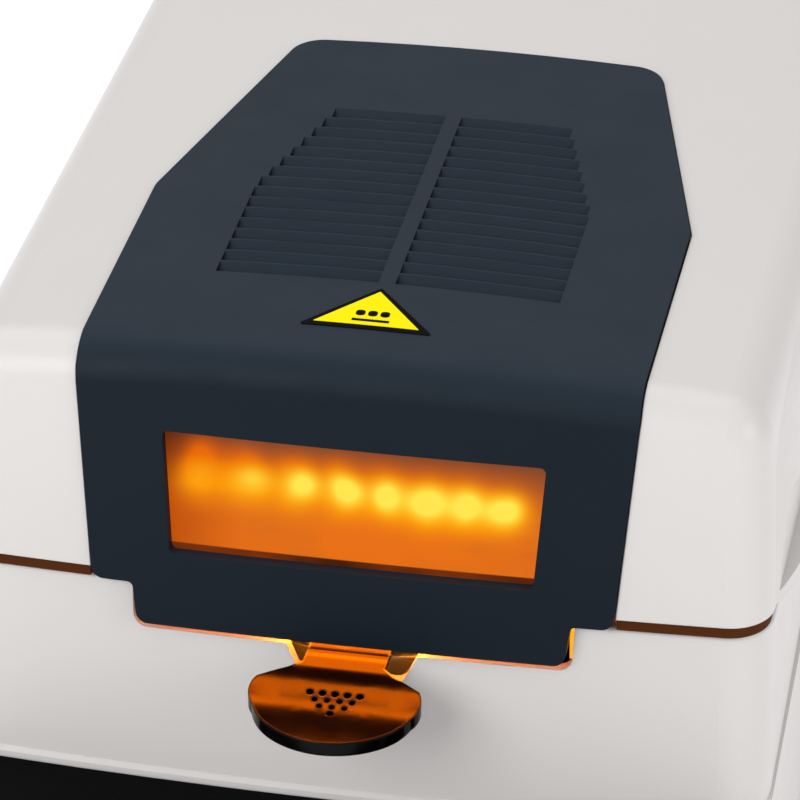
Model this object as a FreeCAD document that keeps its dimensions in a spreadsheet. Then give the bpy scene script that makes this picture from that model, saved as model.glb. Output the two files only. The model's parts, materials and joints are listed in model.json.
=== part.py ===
import FreeCAD, Part
import math
import os

import Sketcher
from FreeCAD import Placement, Rotation, Vector

# Heated drying balance: white base and hinged heating lid, dark vented cover with a window,
# tubular heaters, weighing pan with a lift-out holder, black console in front.
# Millimetres, +Z up, front towards -Y. Pieces are drawn about the front part of the lid, and are
# carried back at the end so that the origin is at the bottom centre of the whole instrument.

os.makedirs("parts", exist_ok=True)
doc = FreeCAD.newDocument("heated_drying_balance")
sheet = doc.addObject("Spreadsheet::Sheet", "Dims")

DIMENSIONS = [
    ("top_height", 157.0, "crown of the lid above the table"),
    ("bend_front", -20.0, "where the flat top would meet the front face"),
    ("rear_face", 208.0, "outer rear face of the lid"),
    ("crown_radius", 849.0, "radius of the crowned top across the width"),
    ("front_lean", 0.1221, "forward lean of the front face per mm of drop"),
    ("front_bow", 0.000331, "bow of the front face in plan"),
    ("lid_low", 99.5, "lower edge of the lid"),
    ("lid_half", 97.7, "half width of the lid at its lower edge"),
    ("side_draft", 0.0578, "inward lean of the lid sides per mm of rise"),
    ("plan_corner", 12.0, "corner radius of the base in plan"),
    ("edge_round", 11.0, "rounding of the lid's top and upright edges"),
    ("skin", 3.4, "wall of the lid shell"),
    ("cover_bed", 2.0, "depth of the bed that holds the dark cover"),
    ("cover_proud", 0.8, "how far the cover stands out of the lid"),
    ("cover_gap", 0.35, "joint between cover and lid"),
    ("cover_half", 65.7, "half width of the cover along its straight part"),
    ("cover_knee", 61.1, "where the cover starts to taper"),
    ("cover_back", 143.3, "rear edge of the cover"),
    ("cover_back_half", 46.3, "half width of the cover's rear edge"),
    ("cover_low_half", 61.7, "half width of the cover at the lid's lower edge"),
    ("shoulder_low", 97.1, "lower edge of the cover's shoulders"),
    ("tab_half", 51.9, "half width of the tab where it starts"),
    ("tab_low_half", 50.8, "half width of the tab's lower edge"),
    ("tab_low", 86.9, "lower edge of the tab"),
    ("window_high", 136.4, "upper edge of the window"),
    ("window_low", 105.5, "lower edge of the window"),
    ("window_half", 45.0, "half width of the window's upper edge"),
    ("window_low_half", 42.9, "half width of the window's lower edge"),
    ("vent_start", 18.2, "front of the first louvre"),
    ("vent_pitch", 5.47, "distance from louvre to louvre"),
    ("vent_slot", 5.0, "open width of a louvre"),
    ("vent_depth", 3.4, "depth of a louvre at its front edge"),
    ("vent_slit", 0.9, "air slit at the foot of a louvre"),
    ("vent_half", 41.0, "half width of the louvre field"),
    ("vent_back_half", 29.9, "half width of the last louvre"),
    ("vent_knee", 60.0, "where the louvre field starts to taper"),
    ("vent_rib", 4.05, "width of the central rib"),
    ("base_high", 95.7, "upper edge of the base"),
    ("base_low", 10.0, "lower edge of the base housing"),
    ("base_half", 97.5, "half width of the base at its upper edge"),
    ("base_draft", 0.03, "outward lean of the base sides per mm of drop"),
    ("base_setback", 2.4, "base front wall behind the lid's front face"),
    ("base_skin", 3.0, "wall of the base housing"),
    ("base_back", 210.0, "rear face of the base"),
    ("deck_high", 91.5, "upper face of the deck under the lid"),
    ("grip_half", 103.6, "half width over the side grips"),
    ("console_front", -126.0, "front edge of the console"),
    ("console_high", 45.6, "console height at its rear edge"),
    ("console_low", 28.0, "console height at its front edge"),
    ("console_half", 99.5, "half width of the console"),
    ("console_skin", 3.0, "thickness of the console panel"),
    ("pan_centre", 37.0, "centre of the sample pan behind the origin"),
    ("pan_radius", 46.0, "rim radius of the sample pan"),
    ("pan_floor", 82.1, "underside of the sample pan"),
    ("tray_radius", 57.5, "outer radius of the chamber tray"),
    ("tray_floor", 74.0, "underside of the chamber tray"),
    ("lifter_top", 85.0, "upper face of the lifter ring and neck"),
    ("handle_half", 20.3, "half width of the lifter's handle"),
    ("neck_half", 9.7, "half width of the lifter's neck"),
    ("hinge_back", 203.5, "hinge axis behind the origin"),
    ("hinge_high", 102.0, "hinge axis above the table"),
    ("hinge_side", 55.0, "middle of each hinge from the centre line"),
    ("pin_radius", 2.0, "hinge pin radius"),
    ("pin_play", 0.06, "radial play on the hinge pin"),
    ("lamp_front", 0.0, "axis of the front heater tube"),
    ("lamp_back", 74.0, "axis of the rear heater tube"),
    ("lamp_high", 110.2, "height of both heater tubes"),
    ("lamp_radius", 5.0, "radius of a heater tube"),
    ("lamp_half", 52.0, "half length of a heater tube"),
    ("key_gap", 0.35, "clearance round each key"),
    ("foot_side", 78.0, "feet from the centre line"),
    ("foot_front", -106.0, "front feet"),
    ("foot_back", 188.0, "rear feet"),
]


class Size(float):
    """A number that remembers the spreadsheet expression it stands for."""

    def __new__(cls, value, text):
        made = float.__new__(cls, value)
        made.text = text
        return made

    def __add__(self, other):
        return Size(float(self) + float(other), "(%s + %s)" % (text_of(self), text_of(other)))

    def __radd__(self, other):
        return Size(float(other) + float(self), "(%s + %s)" % (text_of(other), text_of(self)))

    def __sub__(self, other):
        return Size(float(self) - float(other), "(%s - %s)" % (text_of(self), text_of(other)))

    def __rsub__(self, other):
        return Size(float(other) - float(self), "(%s - %s)" % (text_of(other), text_of(self)))

    def __mul__(self, other):
        return Size(float(self) * float(other), "(%s * %s)" % (text_of(self), text_of(other)))

    def __rmul__(self, other):
        return Size(float(other) * float(self), "(%s * %s)" % (text_of(other), text_of(self)))

    def __truediv__(self, other):
        return Size(float(self) / float(other), "(%s / %s)" % (text_of(self), text_of(other)))

    def __neg__(self):
        return Size(-float(self), "(0 - %s)" % text_of(self))


def text_of(value):
    if isinstance(value, Size):
        return value.text
    return "%.9g" % float(value)


for row, (alias, number, note) in enumerate(DIMENSIONS, start=1):
    sheet.set("A%d" % row, alias)
    sheet.set("B%d" % row, str(number))
    sheet.set("C%d" % row, note)
    sheet.setAlias("B%d" % row, alias)
doc.recompute()


class Dimensions:
    """Read access to the spreadsheet: dim.name gives the cell as a Size."""

    def __getattr__(self, alias):
        return Size(float(sheet.get(alias)), "Dims." + alias)


dim = Dimensions()
nodes = {}


# ---------------------------------------------------------------- helpers

def bind(thing, **sizes):
    for name, value in sizes.items():
        thing.setExpression(name, text_of(value))


def place(thing, x=0.0, y=0.0, z=0.0):
    thing.setExpression("Placement.Base.x", text_of(x))
    thing.setExpression("Placement.Base.y", text_of(y))
    thing.setExpression("Placement.Base.z", text_of(z))
    return thing


def keep(node, thing):
    """Register a finished sub-part under its node name."""
    thing.Label = node
    nodes[node] = thing
    return thing


TURN = {
    "Z": Rotation(),
    "X": Rotation(Vector(0, 1, 0), 90),
    "Y": Rotation(Vector(1, 0, 0), -90),
}
serial = [0]


def fresh(stem):
    serial[0] += 1
    return "%s_%03d" % (stem, serial[0])


def cylinder(radius, length, x, y, z, axis="Z"):
    """Cylinder that starts at (x, y, z) and runs along the named axis."""
    made = doc.addObject("Part::Cylinder", fresh("cylinder"))
    bind(made, Radius=radius, Height=length)
    made.Placement = Placement(Vector(), TURN[axis])
    return place(made, x, y, z)


def cone(low_radius, high_radius, length, x, y, z):
    made = doc.addObject("Part::Cone", fresh("cone"))
    bind(made, Radius1=low_radius, Radius2=high_radius, Height=length)
    return place(made, x, y, z)


def block(low_x, high_x, low_y, high_y, low_z, high_z):
    """Box between two corners."""
    made = doc.addObject("Part::Box", fresh("block"))
    bind(made, Length=high_x - low_x, Width=high_y - low_y, Height=high_z - low_z)
    return place(made, low_x, low_y, low_z)


def fuse(*things):
    made = doc.addObject("Part::MultiFuse", fresh("fuse"))
    made.Shapes = list(things)
    return made


def cut(base, *tools):
    made = doc.addObject("Part::Cut", fresh("cut"))
    made.Base = base
    made.Tool = tools[0] if len(tools) == 1 else fuse(*tools)
    return made


def group(*things):
    """Several separate solids that belong to one node."""
    made = doc.addObject("Part::Compound", fresh("group"))
    made.Links = list(things)
    return made


def rounded(thing, radius, chosen):
    """Round the edges of a feature that the test picks out."""
    doc.recompute()
    made = doc.addObject("Part::Fillet", fresh("fillet"))
    made.Base = thing
    made.Edges = [
        (number, float(radius), float(radius))
        for number, edge in enumerate(thing.Shape.Edges, start=1)
        if chosen(edge)
    ]
    return made


def upright(edge):
    ends = edge.Vertexes
    if len(ends) != 2:
        return False
    return abs(ends[0].X - ends[1].X) < 1e-6 and abs(ends[0].Y - ends[1].Y) < 1e-6


def shape(node, made):
    """A free-form sub-part whose shape is computed from the sheet."""
    thing = doc.addObject("Part::Feature", fresh("form"))
    thing.Shape = made
    thing.Placement = Placement()
    return keep(node, thing)


def origin_plane(body, role):
    return next(item for item in body.Origin.OriginFeatures if item.Role == role)


def sketch_on(body, role, lift=0.0):
    made = body.newObject("Sketcher::SketchObject", fresh("sketch"))
    made.AttachmentSupport = (origin_plane(body, role), [""])
    made.MapMode = "FlatFace"
    made.setExpression("AttachmentOffset.Base.z", text_of(lift))
    return made


def pin_down(made, index, spot, vertex):
    """Constrain one vertex to its two coordinates, bound to the sheet."""
    for value, kind, axis in ((vertex[0], "DistanceX", -2), (vertex[1], "DistanceY", -1)):
        if abs(float(value)) < 1e-9:
            made.addConstraint(Sketcher.Constraint("PointOnObject", index, spot, axis))
            continue
        number = made.addConstraint(
            Sketcher.Constraint(kind, -1, 1, index, spot, float(value)))
        if isinstance(value, Size):
            made.setExpression("Constraints[%d]" % number, value.text)


def polygon(made, points):
    first = made.GeometryCount
    count = len(points)
    spots = [Vector(float(x), float(y), 0) for x, y in points]
    for index in range(count):
        made.addGeometry(Part.LineSegment(spots[index], spots[(index + 1) % count]), False)
    for index in range(count):
        following = first + (index + 1) % count
        made.addConstraint(Sketcher.Constraint("Coincident", first + index, 2, following, 1))
    for index in range(count):
        pin_down(made, first + index, 1, points[index])
    return made


def ring(made, x, y, radius):
    index = made.addGeometry(
        Part.Circle(Vector(float(x), float(y), 0), Vector(0, 0, 1), float(radius)), False)
    pin_down(made, index, 3, (x, y))
    number = made.addConstraint(Sketcher.Constraint("Radius", index, float(radius)))
    if isinstance(radius, Size):
        made.setExpression("Constraints[%d]" % number, radius.text)
    return made


def new_body():
    return doc.addObject("PartDesign::Body", fresh("body"))


def turned(points, x=0.0, y=0.0, z=0.0):
    """Body turned about the vertical axis from a half profile of (radius, height) points."""
    body = new_body()
    profile = polygon(sketch_on(body, "XZ_Plane"), points)
    spin = body.newObject("PartDesign::Revolution", fresh("turned"))
    spin.Profile = profile
    spin.ReferenceAxis = (profile, ["V_Axis"])
    spin.Angle = 360
    place(body, x, y, z)
    return body


def pad(body, profile, length):
    made = body.newObject("PartDesign::Pad", fresh("pad"))
    made.Profile = profile
    bind(made, Length=length)
    return made


def pocket(body, profile, length, towards_plane_normal=False):
    made = body.newObject("PartDesign::Pocket", fresh("pocket"))
    made.Profile = profile
    made.Reversed = towards_plane_normal
    bind(made, Length=length)
    return made


def plate(points, low, thickness, holes=()):
    """Flat body from an outline in plan, with round holes (x, y, radius)."""
    body = new_body()
    profile = polygon(sketch_on(body, "XY_Plane", low), points)
    for x, y, radius in holes:
        ring(profile, x, y, radius)
    pad(body, profile, thickness)
    return body


def rectangle(low_x, high_x, low_y, high_y):
    return [(low_x, low_y), (high_x, low_y), (high_x, high_y), (low_x, high_y)]


# ---------------------------------------------------------------- outer forms

def face_at(height):
    """Middle of the leaning front face at a height."""
    return dim.bend_front - dim.front_lean * (dim.top_height - height)


def loop(half, front, back, height):
    """Plan outline with a bowed front edge."""
    corner = front + dim.front_bow * half * half
    left_front = Vector(-half, corner, height)
    right_front = Vector(half, corner, height)
    right_back = Vector(half, back, height)
    left_back = Vector(-half, back, height)
    return Part.Wire([
        Part.Arc(left_front, Vector(0, front, height), right_front).toShape(),
        Part.LineSegment(right_front, right_back).toShape(),
        Part.LineSegment(right_back, left_back).toShape(),
        Part.LineSegment(left_back, left_front).toShape(),
    ])


def corner_edges(solid, rise=5.0):
    """Edges that climb from the lower to the upper outline."""
    found = []
    for edge in solid.Edges:
        heights = [vertex.Z for vertex in edge.Vertexes]
        if len(heights) == 2 and abs(heights[0] - heights[1]) > rise:
            found.append(edge)
    return found


def lid_form(inset, low):
    """The lid's outer form drawn in by inset, from the height low upwards."""
    ends = []
    for height in (low, 165.0):
        half = dim.lid_half + dim.side_draft * (dim.lid_low - height) - inset
        ends.append(loop(half, face_at(height) + inset, dim.rear_face - inset, height))
    solid = Part.makeLoft(ends, True, True)
    axis_foot = Vector(0, 0, dim.top_height - dim.crown_radius)
    crown = Part.makeCylinder(
        dim.crown_radius - inset, 500, axis_foot + Vector(0, -250, 0), Vector(0, 1, 0))
    crown.rotate(axis_foot, Vector(0, 1, 0), 90)
    solid = solid.common(crown)
    rounded_edges = corner_edges(solid)
    for edge in solid.Edges:
        if all(vertex.Z > dim.top_height - 20 for vertex in edge.Vertexes):
            rounded_edges.append(edge)
    return solid.makeFillet(dim.edge_round - inset, rounded_edges)


def base_form(inset, low, high):
    """The base block's outer form drawn in by inset."""
    ends = []
    for height in (low, high):
        half = dim.base_half + dim.base_draft * (dim.base_high - height) - inset
        front = face_at(height) + dim.base_setback + inset
        ends.append(loop(half, front, dim.base_back - inset, height))
    solid = Part.makeLoft(ends, True, True)
    return solid.makeFillet(dim.plan_corner - inset, corner_edges(solid))


def prism(points, direction, radii=None):
    """Extrude a closed polygon; corners with a radius are rounded first."""
    flat = Part.Face(Part.makePolygon(list(points) + [points[0]]))
    solid = flat.extrude(direction)
    if not radii:
        return solid
    for corner, radius in radii:
        hits = [
            edge for edge in solid.Edges
            if len(edge.Vertexes) == 2
            and edge.Curve.TypeId == "Part::GeomLine"
            and abs(edge.Curve.Direction.dot(direction) / direction.Length) > 0.999
            and edge.distToShape(Part.Vertex(corner))[0] < 1e-4
        ]
        solid = solid.makeFillet(radius, hits)
    return solid


def box_between(low, high):
    return Part.makeBox(high[0] - low[0], high[1] - low[1], high[2] - low[2], Vector(*low))


# ---------------------------------------------------------------- lid

def cover_zone(grow):
    """Space the cover takes up seen from above and from the front, grown all round."""
    half = dim.cover_half + grow
    knee = dim.cover_knee + 0.15 * grow
    back = dim.cover_back + grow
    back_half = dim.cover_back_half + 0.8 * grow
    low_half = dim.cover_low_half + grow
    top = [
        Vector(-half, -32, 100), Vector(half, -32, 100), Vector(half, knee, 100),
        Vector(back_half, back, 100), Vector(-back_half, back, 100), Vector(-half, knee, 100),
    ]
    above = prism(top, Vector(0, 0, 80), [
        (top[3], 8.0), (top[4], 8.0), (top[2], 9.0), (top[5], 9.0)])
    above = above.cut(box_between((-120, -60, 90), (120, -12, 190)))
    shoulder = dim.shoulder_low - grow
    front = [
        Vector(-half, -60, 175), Vector(-half, -60, 149), Vector(-low_half, -60, shoulder),
        Vector(-dim.tab_half - grow, -60, shoulder),
        Vector(-dim.tab_low_half - grow, -60, dim.tab_low - grow),
        Vector(dim.tab_low_half + grow, -60, dim.tab_low - grow),
        Vector(dim.tab_half + grow, -60, shoulder), Vector(low_half, -60, shoulder),
        Vector(half, -60, 149), Vector(half, -60, 175),
    ]
    ahead = prism(front, Vector(0, 50, 0), [
        (front[2], 3.0), (front[7], 3.0), (front[4], 3.0), (front[5], 3.0),
        (front[3], 1.5), (front[6], 1.5)])
    return above.fuse(ahead)


def window_zone(grow):
    """Window outline seen from the front, grown all round, as a bar along Y."""
    corners = [
        Vector(-dim.window_low_half - grow, -60, dim.window_low - grow),
        Vector(dim.window_low_half + grow, -60, dim.window_low - grow),
        Vector(dim.window_half + grow, -60, dim.window_high + grow),
        Vector(-dim.window_half - grow, -60, dim.window_high + grow),
    ]
    return prism(corners, Vector(0, 55, 0), [(corner, 1.4 + grow) for corner in corners])


outer = lid_form(0.0, dim.lid_low)
hollow = lid_form(float(dim.skin), dim.lid_low - 12)
proud_skin = lid_form(-float(dim.cover_proud), dim.tab_low - 6)
bed_skin = lid_form(float(dim.cover_bed), dim.tab_low - 8)
deep_skin = lid_form(float(dim.skin), dim.tab_low - 8)

# Side grips: each side swells out gently behind the front corner and stays wide to the rear,
# with a finger scoop above its lip.
GRIP_REACH = [
    (99.5, 103.6), (108.0, 102.9), (116.0, 102.0), (124.0, 100.8), (132.0, 99.2),
    (138.0, 97.6), (142.0, 96.15), (145.0, 94.7), (147.5, 92.95), (149.5, 90.9), (151.0, 88.6)]
SWELL = [(88.0, -19.5), (95.4, -16.5), (98.0, -11.5), (100.4, -3.0), (102.4, 9.0), (103.6, 26.0)]


def grip_outline(height, reach, side):
    """Plan outline of a grip at a height; it follows the lean of the front face."""
    lean = float(dim.front_lean) * (height - float(dim.lid_low))
    share = (reach - 88.0) / (float(dim.grip_half) - 88.0)
    swell = Part.BSplineCurve()
    swell.interpolate([
        Vector(side * (88.0 + (x - 88.0) * share), y + lean, height) for x, y in SWELL])
    corners = [
        Vector(side * reach, 26.0 + lean, height), Vector(side * reach, 184.0, height),
        Vector(side * 88.0, 203.0, height), Vector(side * 88.0, -19.5 + lean, height)]
    return Part.Wire([swell.toShape()] + [
        Part.LineSegment(start, end).toShape() for start, end in zip(corners, corners[1:])])


shell = outer
for side in (-1, 1):
    grip = Part.makeLoft([grip_outline(z, reach, side) for z, reach in GRIP_REACH], True, True)
    shell = shell.fuse(grip)
for side in (-1, 1):
    scoop = box_between((98.2, -30, 102.2), (112, 62, 122.5))
    if side < 0:
        scoop = scoop.mirror(Vector(), Vector(1, 0, 0))
    tall = [edge for edge in scoop.Edges if upright(edge) and edge.Vertexes[0].Y > 50]
    scoop = scoop.makeFillet(8.0, [edge for edge in tall if abs(edge.Vertexes[0].X) < 100])
    shell = shell.cut(scoop)
shell = shell.cut(hollow)

# Bed for the cover, window opening, vent opening and slots for the fixed hinge knuckles.
bed = cover_zone(float(dim.cover_gap)).common(lid_form(-4.0, dim.tab_low - 8).cut(bed_skin))
shell = shell.cut(bed)
shell = shell.cut(window_zone(2.9))
shell = shell.cut(box_between((-43.2, 16.3, 140), (43.2, 108.2, 170)))
for side in (-1, 1):
    middle = side * dim.hinge_side
    slot = box_between((middle - 5.4, dim.hinge_back - 6.5, 95), (middle + 5.4, 212, 107.4))
    shell = shell.cut(slot)
    for edge_x in (middle - 11.0, middle + 5.4):
        lug = Part.makeCylinder(
            4.0, 5.6, Vector(edge_x, dim.hinge_back, dim.hinge_high), Vector(1, 0, 0))
        web = box_between(
            (edge_x, dim.hinge_back - 3.3, 102), (edge_x + 5.6, dim.hinge_back + 3.0, 112))
        shell = shell.fuse(lug.fuse(web))
    bore = Part.makeCylinder(
        dim.pin_radius + dim.pin_play, 26,
        Vector(middle - 13, dim.hinge_back, dim.hinge_high), Vector(1, 0, 0))
    shell = shell.cut(bore)
# Bosses inside the top that take the lid screws.
for x in (-80, 80):
    for y in (12, 182):
        boss = Part.makeCylinder(4.5, 51, Vector(x, y, 100.9))
        boss = boss.cut(Part.makeCylinder(1.6, 12, Vector(x, y, 100.9)))
        shell = shell.fuse(boss)
shape("lid_shell", shell.removeSplitter())

cover = cover_zone(0.0).common(proud_skin.cut(bed_skin))
below = box_between((-70, -60, 60), (70, 0, 99.2))
tab = cover_zone(0.0).common(proud_skin.cut(deep_skin)).common(below)
cover = cover.fuse(tab).removeSplitter()
cover = cover.cut(window_zone(0.0))

# Louvres: a thicker field under the cover, cut into ramps that fall towards the front, each with
# an air slit at its foot. Every ramp follows the crown.
field = box_between((-42.8, 16.7, 120), (42.8, 107.8, 170))
cover = cover.fuse(proud_skin.cut(lid_form(4.2, 120)).common(field)).removeSplitter()
crown_axis = Vector(0, 0, dim.top_height - dim.crown_radius)
cover_top = float(dim.top_height + dim.cover_proud)
fall = float(dim.vent_depth) / float(dim.vent_slot)
slit = float(dim.vent_slit)
louvres = []
for index in range(16):
    start = float(dim.vent_start) + index * float(dim.vent_pitch)
    reach = float(dim.vent_half)
    if start > dim.vent_knee:
        last = dim.vent_start + 15 * dim.vent_pitch
        reach += (start - dim.vent_knee) / (last - dim.vent_knee) * (dim.vent_back_half - reach)
    end = start + float(dim.vent_slot)
    foot = cover_top - fall * (end - start - slit)
    section = [
        Vector(0, start, cover_top + 1), Vector(0, end + 1 / fall, cover_top + 1),
        Vector(0, start + slit, foot), Vector(0, start + slit, 150), Vector(0, start, 150)]
    ramp = Part.Face(Part.makePolygon(section + [section[0]]))
    inner = math.degrees(float(dim.vent_rib) / 2 / float(dim.crown_radius))
    outer_turn = math.degrees(reach / float(dim.crown_radius))
    for side in (-1, 1):
        begun = ramp.copy()
        begun.rotate(crown_axis, Vector(0, 1, 0), side * inner)
        louvres.append(begun.revolve(crown_axis, Vector(0, 1, 0), side * (outer_turn - inner)))
cover = cover.cut(Part.makeCompound(louvres))
shape("lid_cover", cover)

pane_skin = lid_form(4.1, dim.tab_low - 8)
pane = window_zone(1.6).common(lid_form(2.1, dim.tab_low - 8).cut(pane_skin))
shape("window_pane", pane)
gasket = window_zone(2.7).cut(window_zone(1.65)).common(bed_skin.cut(pane_skin))
shape("window_gasket", gasket)

# Triangular sticker on the crown of the cover.
sticker_corners = [Vector(-16.5, -4.3, 140), Vector(15.0, -4.3, 140), Vector(-0.6, 15.2, 140)]
sticker = prism(sticker_corners, Vector(0, 0, 30), [(corner, 0.5) for corner in sticker_corners])
sticker_low = -float(dim.cover_proud) - 0.01
sticker = sticker.common(lid_form(sticker_low - 0.2, 120).cut(lid_form(sticker_low, 120)))
shape("triangle_sticker", sticker)

# Silicone seal under the lid's lower edge, round the sides and up to the cover's shoulders.
seal = lid_form(0.9, 90).cut(lid_form(3.1, 90)).common(box_between((-120, -60, 96.5), (120, 176, 99.4)))
shape("lid_seal", seal.cut(box_between((-62.4, -60, 90), (62.4, 20, 110))))

liner = plate(rectangle(-88.0, 88.0, -17.0, 194.0), 99.9, 1.0,
              [(x, y, 1.7) for x in (-80.0, 80.0) for y in (12.0, 182.0)])
opening = polygon(sketch_on(liner, "XY_Plane", 99.0), rectangle(-56.0, 56.0, -14.0, 88.0))
pocket(liner, opening, 5.0, True)
keep("lid_liner", liner)

guard = plate(rectangle(-59.5, 59.5, -16.0, 91.0), 101.2, 2.0)
keep("guard_glass", guard)

reflector = cut(
    block(-70.0, 70.0, -15.0, 93.0, 103.5, 131.0),
    block(-69.2, 69.2, -30.0, 92.2, 103.0, 130.2),
    cylinder(6.2, 200.0, -100.0, dim.lamp_front, dim.lamp_high, "X"),
    cylinder(6.2, 200.0, -100.0, dim.lamp_back, dim.lamp_high, "X"),
)
keep("heater_reflector", reflector)

for node, along in (("front_heater_tube", dim.lamp_front), ("rear_heater_tube", dim.lamp_back)):
    start = -dim.lamp_half
    tube = cut(
        cylinder(dim.lamp_radius, dim.lamp_half * 2, start, along, dim.lamp_high, "X"),
        cylinder(dim.lamp_radius - 1.0, dim.lamp_half * 2 - 8, start + 4, along, dim.lamp_high, "X"),
    )
    keep(node, tube)

coils = []
for along in (dim.lamp_front, dim.lamp_back):
    coils.append(cylinder(0.5, dim.lamp_half * 2 - 9, 4.5 - dim.lamp_half, along, dim.lamp_high, "X"))
    for index in range(9):
        coils.append(cylinder(1.9, 7.6, -45.4 + 10.4 * index, along, dim.lamp_high, "X"))
keep("heater_coils", fuse(*coils))

sockets = []
for along in (dim.lamp_front, dim.lamp_back):
    for low, high in ((-68.0, -50.0), (50.0, 68.0)):
        holder = block(low, high, along - 7.5, along + 7.5, 103.8, dim.lamp_high + 7.5)
        seat_low = -dim.lamp_half - 0.2 if low < 0 else 49.0
        seat_high = -49.0 if low < 0 else dim.lamp_half + 0.2
        seat = cylinder(dim.lamp_radius + 0.15, seat_high - seat_low, seat_low, along,
                        dim.lamp_high, "X")
        sockets.append(cut(holder, seat))
keep("lamp_sockets", group(*sockets))

probe = fuse(
    cylinder(1.6, 24.0, 0.0, 37.0, 107.0, "Z"),
    cylinder(3.2, 3.0, 0.0, 37.0, 131.2, "Z"),
    cylinder(2.2, 6.0, 0.0, 37.0, 105.0, "Z"),
    cylinder(1.6, 2.0, 0.0, 37.0, 130.0, "Z"),
)
keep("temperature_sensor", probe)
reflector.Tool.Shapes = reflector.Tool.Shapes + [cylinder(1.9, 10.0, 0.0, 37.0, 125.0, "Z")]

lid_screws = []
for x in (-80.0, 80.0):
    for y in (12.0, 182.0):
        lid_screws.append(fuse(cylinder(3.0, 1.6, x, y, 98.3), cylinder(1.5, 11.0, x, y, 99.5)))
keep("lid_screws", group(*lid_screws))

# ---------------------------------------------------------------- base housing

slope = math.atan2(
    dim.console_high - dim.console_low, face_at(dim.console_high) + 2.4 - dim.console_front)
SLOPE_DEG = math.degrees(slope)


def console_form(inset, drop, back):
    """Wedge from the front edge to back; drop lowers its sloping top along its own normal."""
    front = dim.console_front + inset
    half = dim.console_half - inset
    outline = loop(half, front, back, dim.base_low)
    solid = Part.Face(outline).extrude(Vector(0, 0, 110))
    corners = [edge for edge in solid.Edges if upright(edge)]
    solid = solid.makeFillet(18.0 - inset, [edge for edge in corners if edge.Vertexes[0].Y < 0])
    corners = [edge for edge in solid.Edges if upright(edge) and edge.Vertexes[0].Y > back - 1]
    solid = solid.makeFillet(dim.plan_corner - inset, corners)
    roof = box_between((-150, -60, 0), (150, 500, 120))
    roof.Placement = Placement(
        Vector(0, float(dim.console_front), float(dim.console_low)),
        Rotation(Vector(1, 0, 0), SLOPE_DEG)).multiply(Placement(Vector(0, 0, -drop), Rotation()))
    return solid.cut(roof)


skin = float(dim.base_skin)
block_out = base_form(0.0, dim.base_low, dim.base_high)
top_edges = [
    edge for edge in block_out.Edges
    if all(abs(vertex.Z - float(dim.base_high)) < 0.01 for vertex in edge.Vertexes)]
block_out = block_out.makeFillet(1.2, top_edges)
deck = Placement(
    Vector(0, float(dim.console_front), float(dim.console_low)), Rotation(Vector(1, 0, 0), SLOPE_DEG))
# The console's slope carries on round the block as a skirt with a small lip at its foot.
panel_drop = float(dim.console_skin) + 0.2
back = float(dim.base_back)
wedge = console_form(0.0, panel_drop, back)
lip = box_between((-150, 0, -4), (150, 400, 1.9))
lip.Placement = deck
lip = lip.common(base_form(-1.0, dim.base_low, dim.base_high))
lip = lip.common(box_between((-dim.console_half, -60, 0), (dim.console_half, dim.base_back, 120)))
lip_edges = [
    edge for edge in lip.Edges
    if all(abs(deck.inverse().multVec(vertex.Point).z - 1.9) < 0.01 for vertex in edge.Vertexes)
    and edge.BoundBox.YMax < -15]
lip = lip.makeChamfer(0.8, lip_edges)
housing = block_out.fuse(wedge).fuse(lip)
inside = base_form(skin, dim.base_low - 1, dim.deck_high - 3)
inside = inside.fuse(console_form(skin, panel_drop + skin, back - skin))
inside = inside.fuse(box_between((-95, -60, 9), (95, -20, 20)))
housing = housing.cut(inside)
housing = housing.cut(base_form(skin, dim.deck_high, dim.base_high + 5))
chamber = Part.makeCylinder(dim.tray_radius - 1, 30, Vector(0, dim.pan_centre, 80))
housing = housing.cut(chamber)

# Notch behind the tab, and below it the smaller notch for the lifter's neck.
notch_low = 84.0
tab_notch = prism([
    Vector(-53.0, -60, 110), Vector(-52.2, -60, notch_low), Vector(52.2, -60, notch_low),
    Vector(53.0, -60, 110)], Vector(0, 45, 0), [
        (Vector(-52.2, -60, notch_low), 3.5), (Vector(52.2, -60, notch_low), 3.5)])
neck_notch = prism([
    Vector(-18.2, -60, 90), Vector(-15.4, -60, 84), Vector(-12.2, -60, 77.0),
    Vector(12.6, -60, 77.0), Vector(16.0, -60, 84), Vector(18.8, -60, 90)],
    Vector(0, 45, 0), [(Vector(-12.2, -60, 77), 3.0), (Vector(12.6, -60, 77), 3.0)])
housing = housing.cut(tab_notch.fuse(neck_notch))

# Pocket for the display, the keys and the bubble level goes through the roof of the wedge.
well = box_between((-81, 7.5, -20), (81, 84, 6))
well.Placement = deck
LEVEL_SPOT = (80.0, 78.0)
level_seat = Part.makeCylinder(7.6, 26, Vector(LEVEL_SPOT[0], LEVEL_SPOT[1], -20))
level_seat.Placement = deck
housing = housing.cut(well.fuse(level_seat))

# Openings in the rear wall and slots for warm air.
housing = housing.cut(box_between((-60.0, back - 8, 26.0), (60.0, back + 7, 72.0)))
air_slots = []
for side in (-1, 1):
    for index in range(8):
        along = 84 + 9 * index
        air_slots.append(box_between((side * 100 - 9, along, 18), (side * 100 + 9, along + 3.5, 34)))
housing = housing.cut(Part.makeCompound(air_slots))
# Bosses for the screws that hold the tray.
SCREW_SPOTS = [(-88, -82), (88, -82), (-86, 20), (86, 20), (-86, 164), (86, 164)]
for x, y in SCREW_SPOTS:
    boss_top = 31.4 if y < 0 else 89.0
    boss = Part.makeCylinder(4.5, boss_top - 10.2, Vector(x, y, 10.2))
    housing = housing.fuse(boss.cut(Part.makeCylinder(1.6, 8, Vector(x, y, 10.2))))
shape("base_housing", housing.removeSplitter())

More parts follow.
